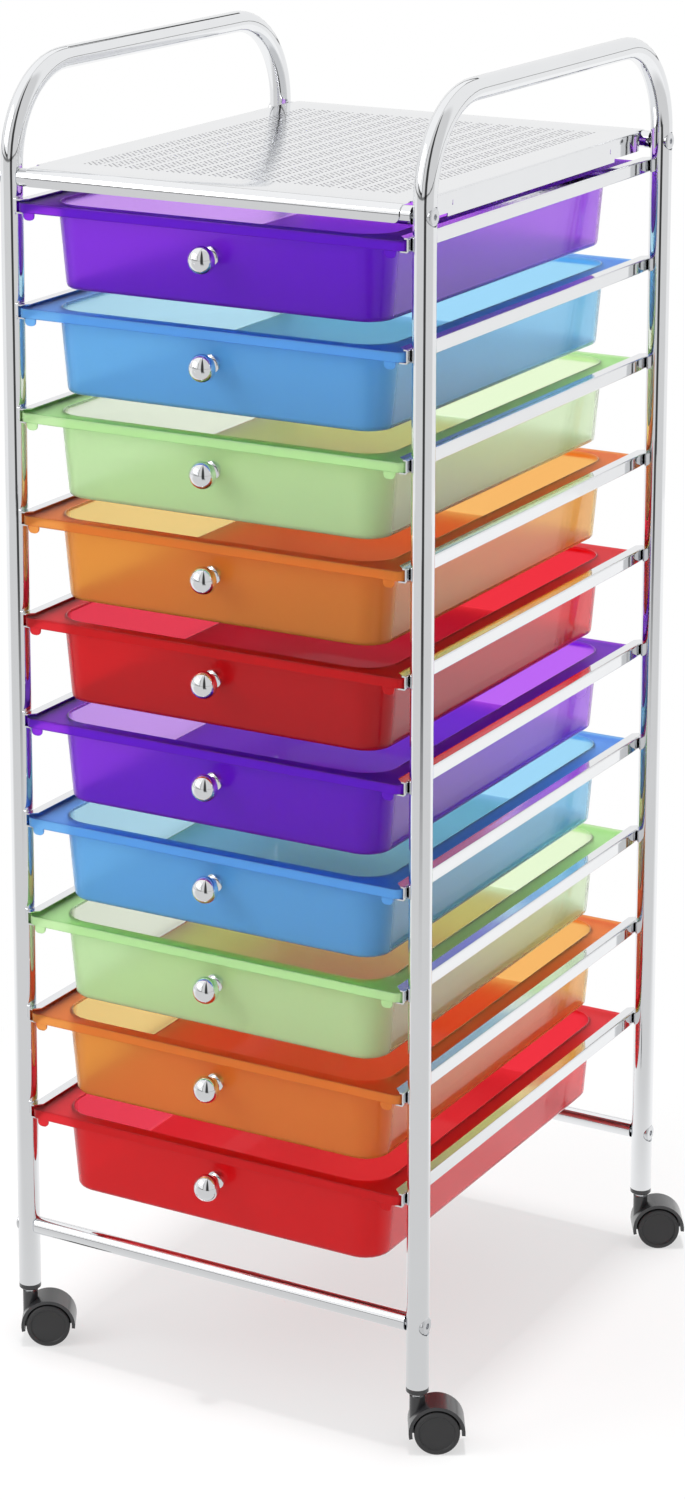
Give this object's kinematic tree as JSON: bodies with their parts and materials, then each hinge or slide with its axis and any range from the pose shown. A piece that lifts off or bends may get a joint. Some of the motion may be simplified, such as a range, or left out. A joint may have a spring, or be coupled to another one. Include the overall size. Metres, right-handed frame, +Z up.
{
  "type": "rolling drawer cart",
  "caption": "Rolling cart with pull-out translucent plastic drawers on channel rails between chromed tube side frames, a perforated sheet shelf and swivelling twin-wheel casters.",
  "frame": {"origin": "on the floor, under the middle of the object's bounding box", "axes": "+Z up, -Y to the front where the drawers open, +X to the right seen from the front"},
  "size_m": [0.3686, 0.4198, 0.9535],
  "materials": {
    "chrome": "polished chrome plating",
    "zinc_steel": "bright zinc plating",
    "black_plastic": "satin moulded nylon",
    "wheel_plastic": "satin moulded nylon",
    "purple_plastic": "glossy translucent polypropylene",
    "blue_plastic": "glossy translucent polypropylene",
    "green_plastic": "glossy translucent polypropylene",
    "orange_plastic": "glossy translucent polypropylene",
    "red_plastic": "glossy translucent polypropylene"
  },
  "bodies": {
    "frame": {"left_side_frame": "chrome", "right_side_frame": "chrome", "left_rails": "chrome", "right_rails": "chrome", "lower_cross_bars": "chrome", "upper_cross_bars": "chrome", "frame_bolts": "chrome", "top_shelf": "chrome", "caster_sockets": "black_plastic"},
    "drawer_01_body": {"drawer_01": "purple_plastic", "knob_01": "chrome", "knob_screw_01": "zinc_steel"},
    "drawer_02_body": {"drawer_02": "blue_plastic", "knob_02": "chrome", "knob_screw_02": "zinc_steel"},
    "drawer_03_body": {"drawer_03": "green_plastic", "knob_03": "chrome", "knob_screw_03": "zinc_steel"},
    "drawer_04_body": {"drawer_04": "orange_plastic", "knob_04": "chrome", "knob_screw_04": "zinc_steel"},
    "drawer_05_body": {"drawer_05": "red_plastic", "knob_05": "chrome", "knob_screw_05": "zinc_steel"},
    "drawer_06_body": {"drawer_06": "purple_plastic", "knob_06": "chrome", "knob_screw_06": "zinc_steel"},
    "drawer_07_body": {"drawer_07": "blue_plastic", "knob_07": "chrome", "knob_screw_07": "zinc_steel"},
    "drawer_08_body": {"drawer_08": "green_plastic", "knob_08": "chrome", "knob_screw_08": "zinc_steel"},
    "drawer_09_body": {"drawer_09": "orange_plastic", "knob_09": "chrome", "knob_screw_09": "zinc_steel"},
    "drawer_10_body": {"drawer_10": "red_plastic", "knob_10": "chrome", "knob_screw_10": "zinc_steel"},
    "front_left_caster": {"front_left_caster_hood": "black_plastic", "front_left_caster_stem": "zinc_steel", "front_left_caster_axle": "zinc_steel"},
    "front_left_front_wheel_body": {"front_left_front_wheel": "wheel_plastic"},
    "front_left_rear_wheel_body": {"front_left_rear_wheel": "wheel_plastic"},
    "front_right_caster": {"front_right_caster_hood": "black_plastic", "front_right_caster_stem": "zinc_steel", "front_right_caster_axle": "zinc_steel"},
    "front_right_front_wheel_body": {"front_right_front_wheel": "wheel_plastic"},
    "front_right_rear_wheel_body": {"front_right_rear_wheel": "wheel_plastic"},
    "rear_left_caster": {"rear_left_caster_hood": "black_plastic", "rear_left_caster_stem": "zinc_steel", "rear_left_caster_axle": "zinc_steel"},
    "rear_left_front_wheel_body": {"rear_left_front_wheel": "wheel_plastic"},
    "rear_left_rear_wheel_body": {"rear_left_rear_wheel": "wheel_plastic"},
    "rear_right_caster": {"rear_right_caster_hood": "black_plastic", "rear_right_caster_stem": "zinc_steel", "rear_right_caster_axle": "zinc_steel"},
    "rear_right_front_wheel_body": {"rear_right_front_wheel": "wheel_plastic"},
    "rear_right_rear_wheel_body": {"rear_right_rear_wheel": "wheel_plastic"}
  },
  "joints": [
    {"name": "drawer_01_slide", "type": "slide", "parent": "frame", "child": "drawer_01_body", "axis": [0, -1, 0], "range_m": [0, 0.24]},
    {"name": "drawer_02_slide", "type": "slide", "parent": "frame", "child": "drawer_02_body", "axis": [0, -1, 0], "range_m": [0, 0.24]},
    {"name": "drawer_03_slide", "type": "slide", "parent": "frame", "child": "drawer_03_body", "axis": [0, -1, 0], "range_m": [0, 0.24]},
    {"name": "drawer_04_slide", "type": "slide", "parent": "frame", "child": "drawer_04_body", "axis": [0, -1, 0], "range_m": [0, 0.24]},
    {"name": "drawer_05_slide", "type": "slide", "parent": "frame", "child": "drawer_05_body", "axis": [0, -1, 0], "range_m": [0, 0.24]},
    {"name": "drawer_06_slide", "type": "slide", "parent": "frame", "child": "drawer_06_body", "axis": [0, -1, 0], "range_m": [0, 0.24]},
    {"name": "drawer_07_slide", "type": "slide", "parent": "frame", "child": "drawer_07_body", "axis": [0, -1, 0], "range_m": [0, 0.24]},
    {"name": "drawer_08_slide", "type": "slide", "parent": "frame", "child": "drawer_08_body", "axis": [0, -1, 0], "range_m": [0, 0.24]},
    {"name": "drawer_09_slide", "type": "slide", "parent": "frame", "child": "drawer_09_body", "axis": [0, -1, 0], "range_m": [0, 0.24]},
    {"name": "drawer_10_slide", "type": "slide", "parent": "frame", "child": "drawer_10_body", "axis": [0, -1, 0], "range_m": [0, 0.24]},
    {"name": "front_left_swivel", "type": "hinge", "parent": "frame", "child": "front_left_caster", "pos_m": [-0.17319, -0.18662, 0.0465], "axis": [0, 0, 1], "continuous": true},
    {"name": "front_left_front_wheel_spin", "type": "hinge", "parent": "front_left_caster", "child": "front_left_front_wheel_body", "pos_m": [-0.1615, -0.17987, 0.016], "axis": [0.5, -0.866, 0], "continuous": true},
    {"name": "front_left_rear_wheel_spin", "type": "hinge", "parent": "front_left_caster", "child": "front_left_rear_wheel_body", "pos_m": [-0.1615, -0.17987, 0.016], "axis": [0.5, -0.866, 0], "continuous": true},
    {"name": "front_right_swivel", "type": "hinge", "parent": "frame", "child": "front_right_caster", "pos_m": [0.14981, -0.18662, 0.0465], "axis": [0, 0, 1], "continuous": true},
    {"name": "front_right_front_wheel_spin", "type": "hinge", "parent": "front_right_caster", "child": "front_right_front_wheel_body", "pos_m": [0.1615, -0.17987, 0.016], "axis": [0.5, -0.866, 0], "continuous": true},
    {"name": "front_right_rear_wheel_spin", "type": "hinge", "parent": "front_right_caster", "child": "front_right_rear_wheel_body", "pos_m": [0.1615, -0.17987, 0.016], "axis": [0.5, -0.866, 0], "continuous": true},
    {"name": "rear_left_swivel", "type": "hinge", "parent": "frame", "child": "rear_left_caster", "pos_m": [-0.17319, 0.18338, 0.0465], "axis": [0, 0, 1], "continuous": true},
    {"name": "rear_left_front_wheel_spin", "type": "hinge", "parent": "rear_left_caster", "child": "rear_left_front_wheel_body", "pos_m": [-0.1615, 0.19013, 0.016], "axis": [0.5, -0.866, 0], "continuous": true},
    {"name": "rear_left_rear_wheel_spin", "type": "hinge", "parent": "rear_left_caster", "child": "rear_left_rear_wheel_body", "pos_m": [-0.1615, 0.19013, 0.016], "axis": [0.5, -0.866, 0], "continuous": true},
    {"name": "rear_right_swivel", "type": "hinge", "parent": "frame", "child": "rear_right_caster", "pos_m": [0.14981, 0.18338, 0.0465], "axis": [0, 0, 1], "continuous": true},
    {"name": "rear_right_front_wheel_spin", "type": "hinge", "parent": "rear_right_caster", "child": "rear_right_front_wheel_body", "pos_m": [0.1615, 0.19013, 0.016], "axis": [0.5, -0.866, 0], "continuous": true},
    {"name": "rear_right_rear_wheel_spin", "type": "hinge", "parent": "rear_right_caster", "child": "rear_right_rear_wheel_body", "pos_m": [0.1615, 0.19013, 0.016], "axis": [0.5, -0.866, 0], "continuous": true}
  ]
}
